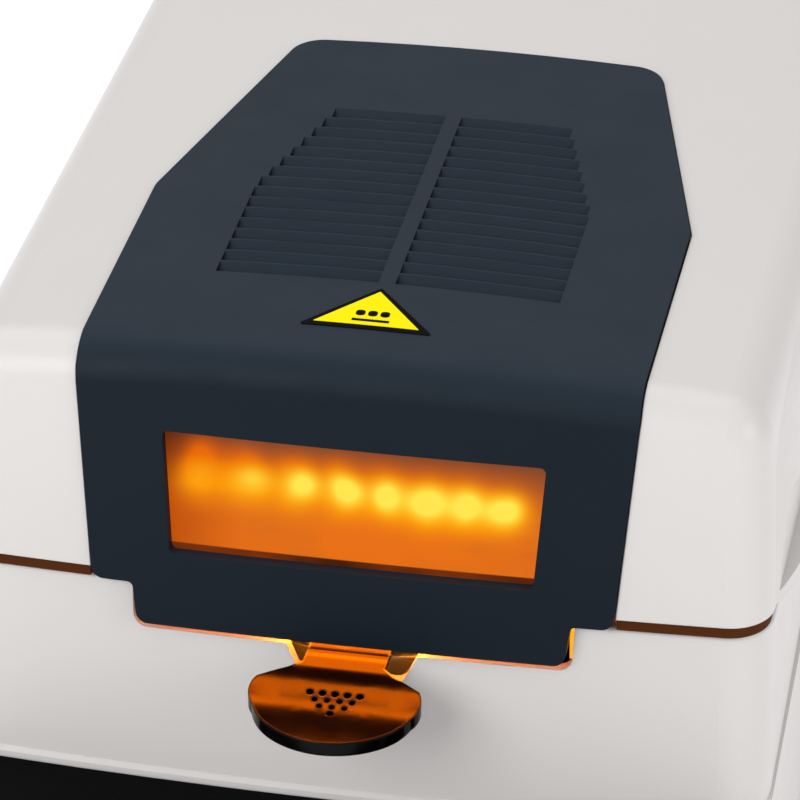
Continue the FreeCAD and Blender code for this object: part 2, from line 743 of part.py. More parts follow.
# Console panel: the black skin over the whole wedge, cut for the display and the keys.
panel = console_form(0.0, 0.0, 0.0).cut(console_form(-5.0, float(dim.console_skin), 5.0))
panel = panel.cut(base_form(-1.5, dim.base_low, dim.base_high))
panel = panel.cut(box_between((-120, -24, 0), (120, 20, 120)))
rim = [
    edge for edge in panel.Edges
    if edge.BoundBox.YMax < -40 or edge.BoundBox.YMax - edge.BoundBox.YMin > 40
]
rim = [
    edge for edge in rim
    if abs(deck.inverse().multVec(edge.CenterOfMass).z) < 0.6
    and deck.inverse().multVec(edge.CenterOfMass).y < 84
]
panel = panel.makeFillet(1.8, rim)

DISPLAY = (-70.0, 20.0, 38.0, 80.0)
KEY_ROWS = [
    ("power_key", -70.0, 16.0, 20.0, 11.0), ("print_key", -42.0, 16.0, 20.0, 11.0),
    ("menu_key", -14.0, 16.0, 20.0, 11.0), ("confirm_key", 14.0, 16.0, 20.0, 11.0),
    ("start_key", 42.0, 16.0, 20.0, 11.0), ("tare_key", 70.0, 16.0, 20.0, 11.0),
    ("up_key", 56.0, 66.5, 13.0, 9.5), ("down_key", 56.0, 41.5, 13.0, 9.5),
    ("left_key", 41.5, 54.0, 13.0, 9.5), ("right_key", 70.5, 54.0, 13.0, 9.5),
]
opening = box_between(
    (DISPLAY[0] - 0.3, DISPLAY[2] - 0.3, -10), (DISPLAY[1] + 0.3, DISPLAY[3] + 0.3, 10))
opening.Placement = deck
panel = panel.cut(opening)
gap = float(dim.key_gap)
for node, x, y, wide, deep in KEY_ROWS:
    hole = box_between(
        (x - wide / 2 - gap, y - deep / 2 - gap, -10), (x + wide / 2 + gap, y + deep / 2 + gap, 10))
    corners = [edge for edge in hole.Edges if upright(edge)]
    hole = hole.makeFillet(2.3, corners)
    hole.Placement = deck
    panel = panel.cut(hole)
level_hole = Part.makeCylinder(7.3, 20, Vector(LEVEL_SPOT[0], LEVEL_SPOT[1], -10))
level_hole.Placement = deck
panel = panel.cut(level_hole)
shape("console_panel", panel)


def on_deck(thing):
    """Lay a piece drawn flat onto the sloping console."""
    doc.recompute()
    carried = doc.addObject("Part::Compound", fresh("laid"))
    carried.Links = [thing]
    carried.Placement = deck
    return carried


lens = rounded(block(DISPLAY[0], DISPLAY[1], DISPLAY[2], DISPLAY[3], -2.0, -0.3), 1.0, upright)
keep("display_lens", on_deck(lens))
keep("display_module", on_deck(block(
    DISPLAY[0] - 3, DISPLAY[1] + 3, DISPLAY[2] - 3, DISPLAY[3] + 3, -10.5, -3.6)))
for node, x, y, wide, deep in KEY_ROWS:
    cap = block(x - wide / 2, x + wide / 2, y - deep / 2, y + deep / 2, -4.6, 1.0)
    cap = rounded(cap, 2.0, upright)
    cap = rounded(cap, 0.7, lambda edge: all(vertex.Z > 0.9 for vertex in edge.Vertexes))
    stem = cylinder(1.6, 3.0, x, y, -6.6)
    keep(node, on_deck(fuse(cap, stem)))
keep("key_board", on_deck(fuse(
    block(-80.5, 80.5, 8.0, 24.0, -9.4, -7.8), block(33.0, 80.5, 23.0, 74.0, -9.4, -7.8))))

vial_x, vial_y = LEVEL_SPOT
keep("level_ring", on_deck(cut(
    fuse(cylinder(7.1, 6.5, vial_x, vial_y, -6.0), cylinder(8.4, 0.9, vial_x, vial_y, 0.1)),
    cylinder(5.6, 7.0, vial_x, vial_y, -4.8))))
keep("level_vial", on_deck(cut(
    cylinder(5.5, 5.0, vial_x, vial_y, -4.7), cylinder(4.6, 3.0, vial_x, vial_y, -3.7))))
keep("level_bubble", on_deck(cylinder(1.9, 0.8, vial_x, vial_y, -1.6)))

# ---------------------------------------------------------------- tray, feet, rear

tray_wire = console_form(0.4, 0.0, float(dim.base_back) - 0.4)
tray_block = base_form(0.4, dim.base_low, dim.base_high)
footprint = tray_wire.fuse(tray_block)
sheet_low = 7.0
section = footprint.slice(Vector(0, 0, 1), 12.0)
largest = max((Part.Face(wire) for wire in section), key=lambda face: face.Area)
largest.translate(Vector(0, 0, sheet_low - 12.0))
tray = largest.extrude(Vector(0, 0, 2.8))
for x, y in SCREW_SPOTS:
    tray = tray.cut(Part.makeCylinder(1.8, 10, Vector(x, y, 5)))
for x in (-76, -28, 30, 76):
    for y in (5, 105):
        tray = tray.fuse(Part.makeCylinder(3.0, 12.3, Vector(x, y, 9.5)))
for x in (-dim.foot_side, dim.foot_side):
    tray = tray.fuse(Part.makeCylinder(6.5, 9, Vector(x, dim.foot_back, 9)))
    tray = tray.cut(Part.makeCylinder(3.06, 16, Vector(x, dim.foot_back, 5)))
shape("base_tray", tray)

base_screws = []
for x, y in SCREW_SPOTS:
    base_screws.append(fuse(
        cylinder(3.2, 1.6, float(x), float(y), 5.4), cylinder(1.5, 10.0, float(x), float(y), 6.9)))
keep("base_screws", group(*base_screws))

keep("front_feet", group(*[
    fuse(cylinder(9.0, 6.0, side * dim.foot_side, dim.foot_front, 0.6),
         cone(8.2, 9.0, 0.6, side * dim.foot_side, dim.foot_front, 0.0),
         cylinder(3.0, 1.0, side * dim.foot_side, dim.foot_front, 6.0))
    for side in (-1, 1)]))

for name, side in (("left", -1), ("right", 1)):
    pad_body = turned([
        (0.0, 0.0), (8.0, 0.0), (8.6, 0.6), (8.6, 1.8), (2.4, 1.8), (2.4, 1.3), (0.0, 1.3)],
        side * dim.foot_side, dim.foot_back, 0.0)
    keep("level_pad_" + name, pad_body)
    wheel = new_body()
    rim_sketch = ring(sketch_on(wheel, "XY_Plane", 2.2), 0.0, 0.0, 11.0)
    pad(wheel, rim_sketch, 3.6)
    doc.recompute()
    tooth = ring(sketch_on(wheel, "XY_Plane", 2.0), 11.6, 0.0, 1.3)
    grip_cut = pocket(wheel, tooth, 5.0, True)
    doc.recompute()
    around = wheel.newObject("PartDesign::PolarPattern", fresh("around"))
    around.Originals = [grip_cut]
    around.Axis = (rim_sketch, ["N_Axis"])
    around.Angle = 360
    around.Occurrences = 18
    wheel.Tip = around
    doc.recompute()
    stem_sketch = ring(sketch_on(wheel, "XY_Plane", 1.5), 0.0, 0.0, 2.0)
    neck = pad(wheel, stem_sketch, 1.0)
    screw_sketch = ring(sketch_on(wheel, "XY_Plane", 5.0), 0.0, 0.0, 3.0)
    screw = pad(wheel, screw_sketch, 16.0)
    wheel.Tip = screw
    place(wheel, side * dim.foot_side, dim.foot_back, 0.0)
    keep("level_wheel_" + name, wheel)

back = dim.base_back
rear = cut(
    block(-59.6, 59.6, back - 4.8, back - 1.6, 26.4, 71.6),
    block(-52.3, -23.7, back - 8, back + 2, 34.7, 63.3),
    block(-12.3, 9.3, back - 8, back + 2, 34.7, 49.3),
    block(22.7, 47.3, back - 8, back + 2, 38.7, 53.3),
)
keep("rear_panel", rear)
inlet = cut(
    fuse(block(-52.0, -24.0, back - 20, back - 1.2, 35.0, 63.0),
         block(-54.0, -22.0, back - 1.6, back - 0.4, 33.0, 65.0)),
    block(-48.0, -28.0, back - 16, back + 2, 47.5, 61.0),
    block(-46.4, -29.6, back - 18, back + 2, 36.5, 44.3),
)
keep("power_inlet", inlet)
blades = [
    block(x - 0.8, x + 0.8, back - 16, back - 5, z - 2.0, z + 2.0)
    for x, z in ((-43.0, 52.8), (-38.0, 56.0), (-33.0, 52.8))
]
keep("inlet_blades", group(*blades))
keep("fuse_drawer", block(-46.0, -30.0, back - 16, back - 0.1, 36.9, 43.9))
frame_piece = cut(
    fuse(block(-12.0, 9.0, back - 16, back - 1.6, 35.0, 49.0),
         block(-13.5, 10.5, back - 1.6, back - 0.8, 33.5, 50.5)),
    block(-10.0, 7.0, back - 18, back + 2, 37.0, 47.0),
    cylinder(1.25, 20.0, -11.5, back - 3.5, 42.0, "X"),
)
keep("switch_frame", frame_piece)
rocker_x = -9.6
rocker_section = [
    Vector(rocker_x, y + float(back), z)
    for y, z in ((-6.0, 38.2), (-0.6, 38.2), (-2.0, 42.0), (-2.2, 45.8), (-6.0, 45.8))]
rocker = prism(rocker_section, Vector(16.2, 0, 0))
pivot = Part.makeCylinder(1.2, 19.4, Vector(rocker_x - 1.6, back - 3.5, 42.0), Vector(1, 0, 0))
shape("power_rocker", rocker.fuse(pivot))
port = cut(
    fuse(block(23.0, 47.0, back - 14, back - 1.6, 39.0, 53.0),
         block(21.0, 49.0, back - 1.6, back - 1.0, 37.0, 55.0)),
    block(26.0, 44.0, back - 9, back + 2, 42.0, 50.0),
)
keep("data_port", port)

# ---------------------------------------------------------------- hinge

brackets = []
pins = []
for side in (-1, 1):
    middle = side * dim.hinge_side
    knuckle = cylinder(4.0, 10.0, middle - 5.0, dim.hinge_back, dim.hinge_high, "X")
    stem = block(middle - 5.0, middle + 5.0, dim.hinge_back - 3.9, dim.hinge_back + 3.4,
                 dim.deck_high, dim.hinge_high)
    foot = block(middle - 9.0, middle + 9.0, dim.hinge_back - 15.5, dim.hinge_back + 3.4,
                 dim.deck_high, dim.deck_high + 2.0)
    hole = cylinder(dim.pin_radius, 12.0, middle - 6.0, dim.hinge_back, dim.hinge_high, "X")
    brackets.append(cut(fuse(knuckle, stem, foot), hole))
    pins.append(cylinder(dim.pin_radius, 21.4, middle - 10.7, dim.hinge_back, dim.hinge_high, "X"))
keep("hinge_brackets", group(*brackets))
keep("hinge_pins", group(*pins))

# ---------------------------------------------------------------- weighing chamber

tray_r = dim.tray_radius
floor = dim.tray_floor
posts = []
for angle in (30, 150, 210, 330):
    x = 49.2 * math.cos(math.radians(angle))
    y = 49.2 * math.sin(math.radians(angle))
    posts.append(cylinder(1.5, 8.2, x, dim.pan_centre + y, 74.5))
bowl = cut(
    turned([
        (5.0, floor), (tray_r, floor), (tray_r, 88.4), (tray_r - 1.0, 88.4),
        (tray_r - 1.0, floor + 1.0), (5.0, floor + 1.0)], 0.0, dim.pan_centre, 0.0),
    block(-16.0, 16.0, -40.0, 0.0, 79.0, 95.0),
)
keep("chamber_tray", fuse(bowl, *posts))
keep("draft_shield", cut(
    turned([(51.6, 75.3), (52.6, 75.3), (52.6, 88.0), (54.6, 88.0), (54.6, 89.0), (51.6, 89.0)],
           0.0, dim.pan_centre, 0.0),
    block(-15.0, 15.0, -40.0, 0.0, 79.0, 95.0),
))

r = dim.pan_radius
low = dim.pan_floor
pan = turned([
    (0.0, low), (40.5, low), (41.8, low + 1.0), (43.6, low + 6.0), (r, low + 6.0),
    (r, low + 6.8), (42.9, low + 6.8), (40.9, low + 0.9), (0.0, low + 0.9)],
    0.0, dim.pan_centre, 0.0)
keep("sample_pan", pan)

arms = [
    block(-36.0, 36.0, dim.pan_centre - 3.0, dim.pan_centre + 3.0, 79.6, 81.8),
    block(-3.0, 3.0, dim.pan_centre - 36.0, dim.pan_centre + 36.0, 79.6, 81.8),
    cylinder(8.0, 2.6, 0.0, dim.pan_centre, 79.2),
    cylinder(3.0, 28.0, 0.0, dim.pan_centre, 52.2),
]
keep("pan_support", fuse(*arms))

cell = cut(
    block(-12.0, 12.0, dim.pan_centre - 10.0, dim.pan_centre + 90.0, 32.0, 52.0),
    cylinder(7.0, 30.0, -15.0, dim.pan_centre + 28.0, 42.0, "X"),
    cylinder(7.0, 30.0, -15.0, dim.pan_centre + 52.0, 42.0, "X"),
    block(-15.0, 15.0, dim.pan_centre + 28.0, dim.pan_centre + 52.0, 38.5, 45.5),
)
cell = rounded(cell, 1.0, upright)
keep("load_cell", cell)
keep("load_cell_bracket", fuse(
    block(-16.0, 16.0, dim.pan_centre + 64.0, dim.pan_centre + 94.0, 28.0, 31.8),
    block(-16.0, 16.0, dim.pan_centre + 64.0, dim.pan_centre + 94.0, 10.0, 28.2)))

board = plate(rectangle(-80.0, -24.0, 0.0, 110.0), 22.0, 1.6)
keep("main_board", board)
keep("board_chips", group(
    block(-70.0, -50.0, 30.0, 50.0, 23.8, 25.8), block(-76.0, -62.0, 70.0, 90.0, 23.8, 27.0),
    block(-44.0, -34.0, 20.0, 46.0, 23.8, 30.0), block(-48.0, -36.0, 70.0, 82.0, 23.8, 25.8)))
keep("power_board", plate(rectangle(26.0, 80.0, 0.0, 110.0), 22.0, 1.6))
keep("power_parts", group(
    block(34.0, 62.0, 14.0, 42.0, 23.8, 46.0), cylinder(9.0, 26.0, 69.0, 66.0, 23.8),
    cylinder(6.0, 20.0, 52.0, 66.0, 23.8), block(40.0, 76.0, 84.0, 100.0, 23.8, 40.0)))
# ---------------------------------------------------------------- pan lifter

ring_plate = Part.makeCylinder(50.0, 2.0, Vector(0, dim.pan_centre, dim.lifter_top - 2))
ring_plate = ring_plate.cut(
    Part.makeCylinder(44.2, 4.0, Vector(0, dim.pan_centre, dim.lifter_top - 3)))
neck_w = float(dim.neck_half)
hand_w = float(dim.handle_half)
top = float(dim.lifter_top)
outline_points = [
    Vector(neck_w, -10, 60), Vector(neck_w, -34.3, 60), Vector(12.4, -37.2, 60),
    Vector(hand_w - 1.1, -41.4, 60),
]
edges = []
for start, end in zip(outline_points, outline_points[1:]):
    edges.append(Part.LineSegment(start, end).toShape())
edges.append(Part.Arc(
    Vector(hand_w - 1.1, -41.4, 60), Vector(hand_w, -45.2, 60), Vector(hand_w - 1.6, -49.6, 60)).toShape())
edges.append(Part.Arc(
    Vector(hand_w - 1.6, -49.6, 60), Vector(0, -62.6, 60), Vector(1.6 - hand_w, -49.6, 60)).toShape())
edges.append(Part.Arc(
    Vector(1.6 - hand_w, -49.6, 60), Vector(-hand_w, -45.2, 60), Vector(1.1 - hand_w, -41.4, 60)).toShape())
mirrored = [Vector(-point.x, point.y, point.z) for point in reversed(outline_points)]
for start, end in zip(mirrored, mirrored[1:]):
    edges.append(Part.LineSegment(start, end).toShape())
edges.append(Part.LineSegment(mirrored[-1], outline_points[0]).toShape())
plan = Part.Face(Part.Wire(edges)).extrude(Vector(0, 0, 40))
# Side profile of the handle: level neck, a gentle dip through the hole rows, then the level
# finger plate.
PROFILE = [
    (-8.0, 0.0), (-36.0, 0.0), (-40.5, -0.5), (-44.5, -1.5), (-48.0, -2.45), (-51.5, -2.95),
    (-56.0, -3.1), (-64.0, -3.1)]
upper = [Vector(-40, y, top + z) for y, z in PROFILE]
thick = [2.0, 2.0, 2.4, 3.0, 3.2, 3.4, 3.5, 3.5]
lower = [Vector(-40, y, top + z - t) for (y, z), t in zip(PROFILE, thick)]
curve = Part.BSplineCurve()
curve.interpolate(upper[1:])
under = Part.BSplineCurve()
under.interpolate(lower[1:])
side_wire = Part.Wire([
    Part.LineSegment(upper[0], upper[1]).toShape(), curve.toShape(),
    Part.LineSegment(upper[-1], lower[-1]).toShape(), under.toShape(),
    Part.LineSegment(lower[1], lower[0]).toShape(), Part.LineSegment(lower[0], upper[0]).toShape()])
handle = plan.common(Part.Face(side_wire).extrude(Vector(80, 0, 0)))
handle = handle.cut(Part.makeCylinder(46.0, 40, Vector(0, dim.pan_centre, 60)))
lifter = ring_plate.fuse(handle)
# Triangle of grip holes: how many in each row, how far forward the row is, and their radius.
for count, distance, radius in ((5, 44.6, 0.92), (4, 46.6, 0.75), (3, 48.5, 0.75), (1, 50.6, 0.9)):
    for index in range(count):
        x = (index - (count - 1) / 2) * 2.95
        lifter = lifter.cut(Part.makeCylinder(radius, 20, Vector(x, -distance, 70)))
shape("pan_lifter", lifter.removeSplitter())

# ---------------------------------------------------------------- frame, checks and export

shift = -(dim.console_front + dim.base_back) / 2
for node, thing in list(nodes.items()):
    carried = doc.addObject("Part::Compound", fresh("carried"))
    carried.Links = [thing]
    place(carried, 0.0, shift, 0.0)
    thing.Label = node + "_as_drawn"
    keep(node, carried)
doc.recompute()
for item in doc.Objects:
    if "Invalid" in item.State or "Error" in item.State:
        raise RuntimeError("%s (%s) did not compute: %s" % (item.Name, item.Label, item.State))
for node, item in nodes.items():
    if item.Shape.isNull() or not item.Shape.isValid():
        raise RuntimeError("%s has no valid shape" % node)
    if not item.Shape.Solids:
        raise RuntimeError("%s holds no solid" % node)
for node, item in nodes.items():
    item.Shape.exportStep("parts/%s.step" % node)
print("%d nodes written" % len(nodes))
for node, item in nodes.items():
    box = item.Shape.BoundBox
    print("%-20s solids %d volume %9.1f  x %.1f..%.1f y %.1f..%.1f z %.1f..%.1f" % (
        node, len(item.Shape.Solids), item.Shape.Volume,
        box.XMin, box.XMax, box.YMin, box.YMax, box.ZMin, box.ZMax))
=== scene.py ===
import bmesh
import bpy
import json
import math
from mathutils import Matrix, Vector

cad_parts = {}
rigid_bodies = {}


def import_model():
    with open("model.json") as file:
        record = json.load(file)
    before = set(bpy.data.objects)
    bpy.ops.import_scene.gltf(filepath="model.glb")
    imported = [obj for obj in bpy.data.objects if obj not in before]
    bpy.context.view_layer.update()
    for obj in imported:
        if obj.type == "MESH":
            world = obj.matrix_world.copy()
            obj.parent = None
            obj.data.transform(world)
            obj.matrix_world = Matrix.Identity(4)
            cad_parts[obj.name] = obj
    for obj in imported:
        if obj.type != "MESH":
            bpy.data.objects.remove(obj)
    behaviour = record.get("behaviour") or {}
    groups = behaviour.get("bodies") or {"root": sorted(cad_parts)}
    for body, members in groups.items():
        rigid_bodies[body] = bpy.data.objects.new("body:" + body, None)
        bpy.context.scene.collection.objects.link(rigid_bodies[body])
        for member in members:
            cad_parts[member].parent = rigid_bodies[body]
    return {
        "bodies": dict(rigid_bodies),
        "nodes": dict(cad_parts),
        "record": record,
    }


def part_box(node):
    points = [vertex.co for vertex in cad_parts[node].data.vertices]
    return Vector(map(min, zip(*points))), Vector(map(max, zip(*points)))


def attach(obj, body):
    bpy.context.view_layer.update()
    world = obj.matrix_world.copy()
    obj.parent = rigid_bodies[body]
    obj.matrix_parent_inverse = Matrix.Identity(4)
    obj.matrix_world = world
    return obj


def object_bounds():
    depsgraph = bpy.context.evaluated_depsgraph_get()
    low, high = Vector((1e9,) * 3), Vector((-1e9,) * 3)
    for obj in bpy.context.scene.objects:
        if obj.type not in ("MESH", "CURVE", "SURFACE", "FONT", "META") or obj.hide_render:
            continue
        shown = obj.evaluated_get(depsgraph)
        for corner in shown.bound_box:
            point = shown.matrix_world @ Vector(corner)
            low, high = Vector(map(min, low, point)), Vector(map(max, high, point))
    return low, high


# Heated drying balance, dressed for rendering. Metres, +Z up, front towards -Y.

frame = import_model()
cad_low, cad_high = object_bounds()
nodes = frame["nodes"]
bodies = frame["bodies"]
scene = bpy.context.scene
MM = 0.001


# ---------------------------------------------------------------- node graphs

class Finish:
    """One procedural material with short helpers for its nodes."""

    def __init__(self, name):
        self.mat = bpy.data.materials.new(name)
        self.mat.use_nodes = True
        self.nodes = self.mat.node_tree.nodes
        self.links = self.mat.node_tree.links
        self.shader = self.nodes["Principled BSDF"]
        self.spot = self.nodes.new("ShaderNodeTexCoord").outputs["Object"]

    def feed(self, socket, value):
        if isinstance(value, bpy.types.NodeSocket):
            self.links.new(value, socket)
        elif isinstance(value, (tuple, list)) and len(value) == 3 and socket.type == "RGBA":
            socket.default_value = (*value, 1.0)
        else:
            socket.default_value = value

    def set(self, **values):
        for name, value in values.items():
            self.feed(self.shader.inputs[name.replace("_", " ")], value)
        return self

    def stretched(self, x=1.0, y=1.0, z=1.0):
        node = self.nodes.new("ShaderNodeMapping")
        self.links.new(self.spot, node.inputs["Vector"])
        node.inputs["Scale"].default_value = (x, y, z)
        return node.outputs["Vector"]

    def noise(self, scale, detail=2.0, place=None):
        node = self.nodes.new("ShaderNodeTexNoise")
        self.links.new(place or self.spot, node.inputs["Vector"])
        node.inputs["Scale"].default_value = scale
        node.inputs["Detail"].default_value = detail
        return node.outputs["Fac"]

    def cells(self, scale, place=None):
        node = self.nodes.new("ShaderNodeTexVoronoi")
        self.links.new(place or self.spot, node.inputs["Vector"])
        node.inputs["Scale"].default_value = scale
        return node.outputs["Distance"]

    def math(self, kind, first, second=0.0, third=0.0):
        node = self.nodes.new("ShaderNodeMath")
        node.operation = kind
        for socket, value in zip(node.inputs, (first, second, third)):
            self.feed(socket, value)
        return node.outputs["Value"]

    def span(self, value, low, high, to_low=0.0, to_high=1.0):
        node = self.nodes.new("ShaderNodeMapRange")
        for name, given in (("Value", value), ("From Min", low), ("From Max", high),
                            ("To Min", to_low), ("To Max", to_high)):
            self.feed(node.inputs[name], given)
        return node.outputs["Result"]

    def mix(self, share, first, second):
        node = self.nodes.new("ShaderNodeMix")
        node.data_type = "RGBA"
        colours = [socket for socket in node.inputs if socket.type == "RGBA"]
        self.feed(node.inputs[0], share)
        self.feed(colours[0], first)
        self.feed(colours[1], second)
        return next(socket for socket in node.outputs if socket.type == "RGBA")

    def axes(self):
        node = self.nodes.new("ShaderNodeSeparateXYZ")
        self.links.new(self.spot, node.inputs["Vector"])
        return node.outputs

    def edge(self, radius):
        """Rounded-edge normal, and how far it leans away from the flat one."""
        bevel = self.nodes.new("ShaderNodeBevel")
        bevel.samples = 4
        bevel.inputs["Radius"].default_value = radius
        plain = self.nodes.new("ShaderNodeNewGeometry").outputs["Normal"]
        node = self.nodes.new("ShaderNodeVectorMath")
        node.operation = "DOT_PRODUCT"
        self.links.new(bevel.outputs["Normal"], node.inputs[0])
        self.links.new(plain, node.inputs[1])
        return bevel.outputs["Normal"], self.span(node.outputs["Value"], 0.99, 0.8)

    def painted_top_sheen(self, colour):
        """Painted sheen: a lighter colour on the faces that look up, as the piece lies closed, faintly
        speckled.
        """
        parts = self.nodes.new("ShaderNodeSeparateXYZ")
        self.links.new(self.nodes.new("ShaderNodeTexCoord").outputs["Normal"], parts.inputs["Vector"])
        facing_up = self.span(parts.outputs["Z"], 0.25, 0.97)
        under = self.shader.inputs["Base Color"].links[0].from_socket
        speckle = self.span(self.noise(90.0, 4.0), 0.2, 0.8, 0.9, 1.0)
        self.set(Base_Color=self.mix(self.math("MULTIPLY", facing_up, speckle), under, colour))

    def bump(self, height, depth, normal=None):
        node = self.nodes.new("ShaderNodeBump")
        node.inputs["Distance"].default_value = depth
        self.links.new(height, node.inputs["Height"])
        if normal is not None:
            self.links.new(normal, node.inputs["Normal"])
        return node.outputs["Normal"]


def scaled(colour, factor):
    return tuple(min(1.0, part * factor) for part in colour)


def moulded(name, colour, roughness, grain=1800.0, depth=0.00002, worn=0.0, spread=0.03,
            radius=0.0003):
    """Moulded plastic: fine spark texture, faint mottling, handled edges."""
    made = Finish(name)
    normal, edge = made.edge(radius)
    broad = made.noise(14.0, 3.0)
    body = made.mix(broad, scaled(colour, 1 - spread), scaled(colour, 1 + spread))
    wear = made.math("MULTIPLY", edge, made.span(made.noise(220.0, 4.0), 0.45, 0.75))
    wear = made.math("MULTIPLY", wear, worn)
    lighter = tuple(part + (1 - part) * 0.35 for part in colour)
    made.set(Base_Color=made.mix(wear, body, lighter))
    rough = made.span(made.noise(60.0, 3.0), 0.3, 0.7, roughness - 0.04, roughness + 0.05)
    made.set(Roughness=rough)
    made.set(Normal=made.bump(made.noise(grain, 2.0), depth, normal))
    return made


def metal(name, colour, roughness, along=(1.0, 1.0, 1.0), spread=0.06, depth=0.000006):
    """Metal with drawn or turned marks along the axis whose scale is small."""
    made = Finish(name)
    normal, _ = made.edge(0.00025)
    lines = made.noise(900.0, 4.0, made.stretched(*along))
    broad = made.noise(30.0, 3.0)
    tone = made.math("MULTIPLY_ADD", lines, 0.5, made.math("MULTIPLY", broad, 0.5))
    made.set(Base_Color=made.mix(tone, scaled(colour, 1 - spread), scaled(colour, 1 + spread)))
    made.set(Metallic=1.0)
    made.set(Roughness=made.span(lines, 0.25, 0.75, roughness - 0.07, roughness + 0.1))
    made.set(Normal=made.bump(lines, depth, normal))
    return made


def rubber(name, colour, roughness=0.7, grain=2600.0):
    made = moulded(name, colour, roughness, grain, 0.00003, worn=0.2, spread=0.08)
    made.set(Sheen_Weight=0.15, Specular_IOR_Level=0.3)
    return made


# ---------------------------------------------------------------- finishes

white = moulded("white_housing", (0.665, 0.640, 0.628), 0.36, 2600.0, 0.000012, worn=0.15, spread=0.012)
white.set(Specular_IOR_Level=0.45)
cover_paint = moulded("dark_cover", (0.0060, 0.0115, 0.0185), 0.5, 2400.0, 0.00002, worn=0.06, spread=0.05)
cover_paint.set(Specular_IOR_Level=0.10)
# Painted sheen: the cover's up-facing faces are painted lighter, standing for light from above.
cover_paint.painted_top_sheen((0.0175, 0.0270, 0.0400))
console_paint = moulded("black_console", (0.004, 0.004, 0.0042), 0.5, 2000.0, 0.00003,
                        worn=0.25, spread=0.1)
console_paint.set(Specular_IOR_Level=0.02)
handle_paint = moulded("black_handle", (0.0006, 0.0005, 0.0005), 0.15, 2400.0, 0.000006,
                       worn=0.05, spread=0.1, radius=0.0008)
handle_paint.set(Specular_IOR_Level=0.10)
part_black = moulded("part_black", (0.02, 0.02, 0.021), 0.45, 1800.0, 0.00003, worn=0.3, spread=0.1)
grey_tray = moulded("grey_tray", (0.075, 0.078, 0.082), 0.55, 1500.0, 0.00004, worn=0.3, spread=0.06)
key_rubber = rubber("key_rubber", (0.13, 0.14, 0.15), 0.6)
foot_rubber = rubber("foot_rubber", (0.025, 0.025, 0.026), 0.8)
seal_rubber = rubber("seal_rubber", (0.012, 0.010, 0.010), 0.6)
seal_brown = rubber("seal_brown", (0.078, 0.021, 0.0045), 0.6)
seal_brown.set(Sheen_Weight=0.0, Specular_IOR_Level=0.05)
steel = metal("steel", (0.55, 0.55, 0.56), 0.3, (0.06, 1.0, 1.0))
aluminium = metal("aluminium", (0.68, 0.68, 0.69), 0.36, (1.0, 0.08, 1.0))
zinc = metal("zinc_screw", (0.62, 0.61, 0.58), 0.34)
brass = metal("brass_pin", (0.70, 0.52, 0.24), 0.3)
foil = metal("pan_foil", (0.78, 0.78, 0.79), 0.26, (1.0, 1.0, 0.2), depth=0.00002)
reflector = metal("bright_reflector", (0.42, 0.38, 0.34), 0.24, (0.05, 1.0, 1.0))


def board_lacquer():
    made = moulded("board_green", (0.012, 0.10, 0.035), 0.35, 900.0, 0.00002, spread=0.15)
    tracks = made.cells(420.0)
    line = made.span(tracks, 0.02, 0.10, 0.5, 0.0)
    body = made.mix(line, (0.012, 0.10, 0.035), (0.05, 0.22, 0.08))
    made.set(Base_Color=body, Coat_Weight=0.3)
    return made


def ceramic():
    made = moulded("ceramic_socket", (0.74, 0.70, 0.62), 0.75, 1200.0, 0.00005, worn=0.0, spread=0.05)
    specks = made.span(made.cells(700.0), 0.0, 0.12, 0.6, 0.0)
    made.set(Base_Color=made.mix(specks, (0.74, 0.70, 0.62), (0.45, 0.40, 0.33)))
    return made


def clear(name, tint, roughness, density):
    """Clear sheet: mostly see-through, with a glossy skin and faint smears."""
    made = Finish(name)
    smear = made.span(made.noise(45.0, 4.0), 0.35, 0.7, roughness, roughness + 0.08)
    made.set(Base_Color=made.mix(made.noise(20.0), tint, scaled(tint, 0.96)), Roughness=smear, IOR=1.47)
    made.set(Transmission_Weight=1.0 - density)
    made.set(Normal=made.bump(made.noise(120.0, 2.0), 0.000004))
    return made


clear_glass = clear("clear_glass", (0.93, 0.96, 0.95), 0.03, 0.0)
quartz = clear("quartz", (0.97, 0.95, 0.92), 0.02, 0.0)
level_fluid = clear("level_fluid", (0.55, 0.82, 0.12), 0.04, 0.45)
level_air = clear("level_air", (0.92, 0.98, 0.80), 0.05, 0.3)
green_board = board_lacquer()
socket_clay = ceramic()


def hot_wire():
    made = Finish("hot_coil")
    lines = made.span(made.noise(1400.0, 2.0, made.stretched(1.0, 0.1, 0.1)), 0.3, 0.7)
    glow = made.mix(lines, (1.0, 0.32, 0.03), (1.0, 0.55, 0.10))
    made.set(Base_Color=(0.3, 0.2, 0.15), Roughness=made.span(lines, 0.0, 1.0, 0.4, 0.6))
    made.set(Emission_Color=glow)
    made.shader.inputs["Emission Strength"].default_value = 30.0
    made.set(Normal=made.bump(lines, 0.0001))
    return made


hot_coil = hot_wire()

# Painted glow spots on the pane: how many, where the first one is, their pitch, how far they crowd, and
# how far below the pane's upper edge the row starts and how much each next spot drops.
pane_low, pane_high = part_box("window_pane")
COIL_SPOTS = 8
COIL_START = -33.4 * MM
COIL_PITCH = 10.0 * MM
COIL_CROWD = 1.4 * MM
COIL_DROP = 13.0 * MM
COIL_SLOPE = 0.24 * MM
CORE_REACH = 4.3 * MM
HALO_REACH = 6.0 * MM
FAR_REACH = 3.6 * MM


